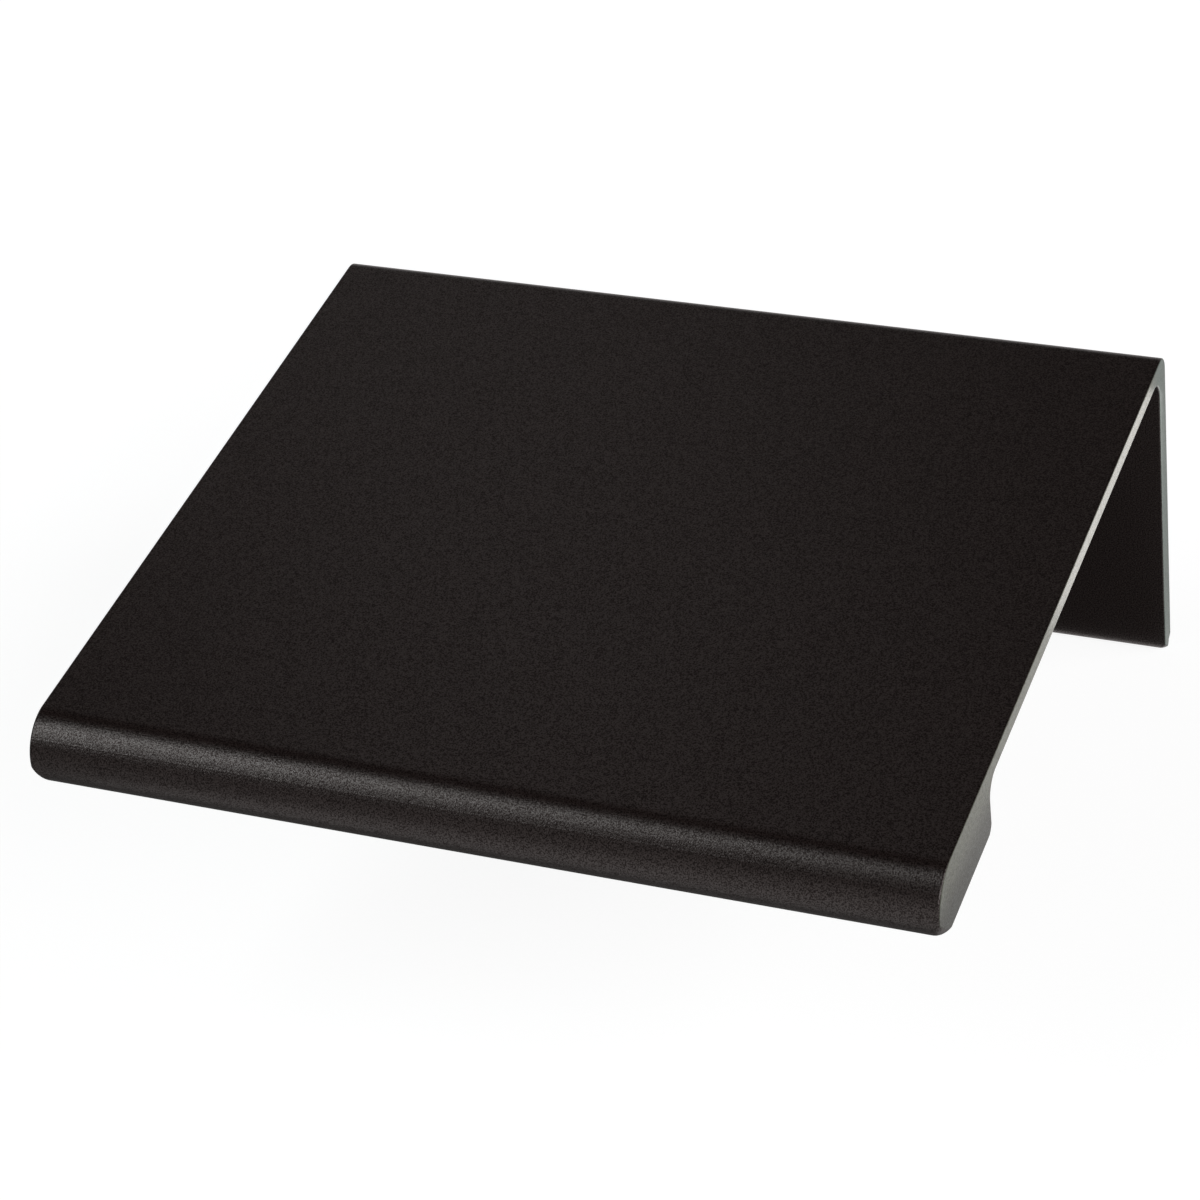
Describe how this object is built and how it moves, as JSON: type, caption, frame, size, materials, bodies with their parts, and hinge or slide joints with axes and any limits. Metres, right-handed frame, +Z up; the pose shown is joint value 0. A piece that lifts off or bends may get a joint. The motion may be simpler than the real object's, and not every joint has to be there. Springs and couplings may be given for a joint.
{
  "type": "tab pull",
  "caption": "Low-profile edge pull: a thin plate with a round-nosed grip lip and a short flange that is screwed behind a drawer front or door.",
  "frame": {"origin": "midway between the two screw holes, on the flange face that meets the back of the drawer front", "axes": "+X along the extrusion, -Y towards the grip lip, +Z up out of the plate's visible face"},
  "size_m": [0.0446, 0.04, 0.0189],
  "materials": {
    "black_coat": "satin, finely textured"
  },
  "bodies": {
    "root": {"tab_pull": "black_coat"}
  },
  "joints": []
}
